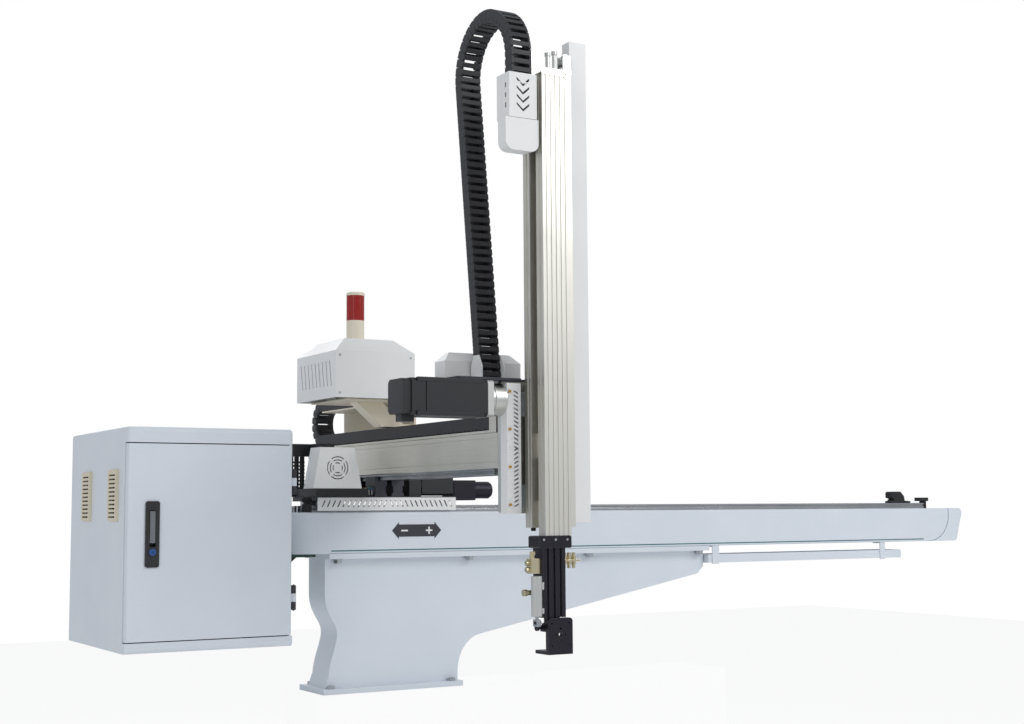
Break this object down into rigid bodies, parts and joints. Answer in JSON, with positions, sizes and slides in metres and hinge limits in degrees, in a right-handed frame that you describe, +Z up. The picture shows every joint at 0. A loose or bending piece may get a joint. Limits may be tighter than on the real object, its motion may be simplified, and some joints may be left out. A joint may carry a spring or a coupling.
{
  "type": "injection moulding take-out robot",
  "caption": "Take-out robot: pedestal, long traverse beam with cabinet, carriage with crosswise beam, telescopic vertical arm and flip wrist with a drilled gripper plate.",
  "frame": {"origin": "middle of the foot plate's underside, between the four foot studs", "axes": "+X along the traverse beam away from the control cabinet, +Y from the vertical arm towards the beam's rear, +Z up"},
  "size_m": [2.9528, 1.2367, 1.7135],
  "materials": {
    "painted_pale": "satin powder coat",
    "cover_white": "satin powder coat",
    "cream_paint": "satin",
    "vent_plastic": "matte",
    "rail_steel": "ground",
    "zinc_steel": "zinc plated",
    "galvanised": "galvanised",
    "machined_aluminium": "machined",
    "anodised_aluminium": "natural anodised",
    "black_metal": "satin black",
    "black_anodised": "black anodised",
    "motor_black": "satin black",
    "chain_plastic": "matte",
    "rubber_black": "matte",
    "lamp_ivory": "gloss",
    "lamp_red": "translucent gloss",
    "lock_grey": "satin",
    "lock_black": "matte",
    "lock_blue": "gloss",
    "valve_red": "gloss",
    "brass_fittings": "nickel and brass",
    "green_paint": "satin"
  },
  "bodies": {
    "base": {"base_pedestal": "painted_pale", "base_fasteners": "zinc_steel", "beam_extrusion": "painted_pale", "beam_end_caps": "painted_pale", "traverse_rails": "rail_steel", "traverse_rack": "rail_steel", "rail_end_stops": "rubber_black", "under_tray": "painted_pale", "cabinet_body": "painted_pale", "cabinet_vent_covers": "vent_plastic", "cabinet_hinges": "black_metal", "drive_panel": "galvanised", "cabinet_bracket": "green_paint", "air_lockout_body": "zinc_steel"},
    "door": {"cabinet_door": "painted_pale", "lock_escutcheon": "lock_black"},
    "lever": {"lock_lever": "lock_grey"},
    "button": {"lock_button": "lock_blue"},
    "lockout": {"air_lockout_slide": "valve_red"},
    "carriage": {"carriage_plate": "black_metal", "traverse_slider_blocks": "rail_steel", "front_skirt": "cover_white", "fan_cover": "cover_white", "traverse_motor": "motor_black", "junction_box": "black_anodised", "cross_bearing_blocks": "black_metal", "crosswise_motor": "motor_black", "side_plate": "cream_paint", "valve_brace": "cream_paint", "valve_box_cover": "cover_white", "valve_manifold": "machined_aluminium", "lamp_body": "lamp_ivory", "lamp_lens": "lamp_red", "cable_conduits": "chain_plastic"},
    "fan": {"fan_rotor": "chain_plastic"},
    "pinion": {"traverse_pinion": "rail_steel"},
    "cross": {"crosswise_beam": "anodised_aluminium", "crosswise_rails": "rail_steel", "chain_tray": "machined_aluminium", "crosswise_chain": "chain_plastic", "arm_plate": "machined_aluminium", "arm_motor": "motor_black", "arm_reducer": "machined_aluminium", "arm_top_plate": "black_metal", "rear_cover": "cover_white", "belt_guard": "cover_white", "arm_slider_blocks": "rail_steel", "vertical_chain": "chain_plastic"},
    "stage1": {"stage1_profile": "anodised_aluminium", "stage1_cover": "cover_white", "stage1_top_bracket": "machined_aluminium", "chevron_box": "cover_white"},
    "pulley": {"belt_pulley": "machined_aluminium"},
    "stage2": {"stage2_profile": "anodised_aluminium", "wrist_column": "black_anodised", "flip_cylinder": "machined_aluminium", "wrist_fittings": "brass_fittings"},
    "wrist": {"gripper_plate": "black_anodised"},
    "rod": {"flip_rod": "rail_steel"}
  },
  "joints": [
    {"name": "traverse_slide", "type": "slide", "parent": "base", "child": "carriage", "axis": [1, 0, 0], "range_m": [0, 1.5]},
    {"name": "pinion_spin", "type": "hinge", "parent": "carriage", "child": "pinion", "pos_m": [-0.18, -0.002, 0.487], "axis": [0, 0, 1], "range_deg": [0, 3581.5]},
    {"name": "fan_spin", "type": "hinge", "parent": "carriage", "child": "fan", "pos_m": [-0.178, -0.08, 0.5955], "axis": [0, 1, 0], "continuous": true},
    {"name": "crosswise_slide", "type": "slide", "parent": "carriage", "child": "cross", "axis": [0, 1, 0], "range_m": [0, 0.35], "deforming": ["crosswise_chain"]},
    {"name": "stage1_slide", "type": "slide", "parent": "cross", "child": "stage1", "axis": [0, 0, -1], "range_m": [0, 0.45], "deforming": ["vertical_chain"]},
    {"name": "pulley_spin", "type": "hinge", "parent": "stage1", "child": "pulley", "pos_m": [0.104, -0.798, 1.561], "axis": [0, 1, 0], "range_deg": [0, 2150]},
    {"name": "stage2_slide", "type": "slide", "parent": "stage1", "child": "stage2", "axis": [0, 0, -1], "range_m": [0, 0.45]},
    {"name": "wrist_flip", "type": "hinge", "parent": "stage2", "child": "wrist", "pos_m": [0.0365, -0.84, 0.214], "axis": [1, 0, 0], "range_deg": [0, 90]},
    {"name": "rod_slide", "type": "slide", "parent": "stage2", "child": "rod", "axis": [0, 0, -1], "range_m": [0, 0.0227]},
    {"name": "door_hinge", "type": "hinge", "parent": "base", "child": "door", "pos_m": [-0.3728, -0.276, 0.4], "axis": [0, 0, 1], "range_deg": [0, 105]},
    {"name": "lever_swing", "type": "hinge", "parent": "door", "child": "lever", "pos_m": [-0.7348, -0.283, 0.412], "axis": [1, 0, 0], "range_deg": [0, 60]},
    {"name": "button_press", "type": "slide", "parent": "door", "child": "button", "axis": [0, 1, 0], "range_m": [0, 0.003], "stiffness_N_per_m": 600},
    {"name": "lockout_shift", "type": "slide", "parent": "base", "child": "lockout", "axis": [0, 0, -1], "range_m": [0, 0.005]}
  ],
  "couplings": [
    {"joint": "pinion_spin", "follows": "traverse_slide", "rad_per_m": 41.667},
    {"joint": "pulley_spin", "follows": "stage1_slide", "rad_per_m": 83.333},
    {"joint": "stage2_slide", "follows": "stage1_slide", "ratio": 1},
    {"joint": "rod_slide", "follows": "wrist_flip", "m_per_rad": 0.014405}
  ]
}
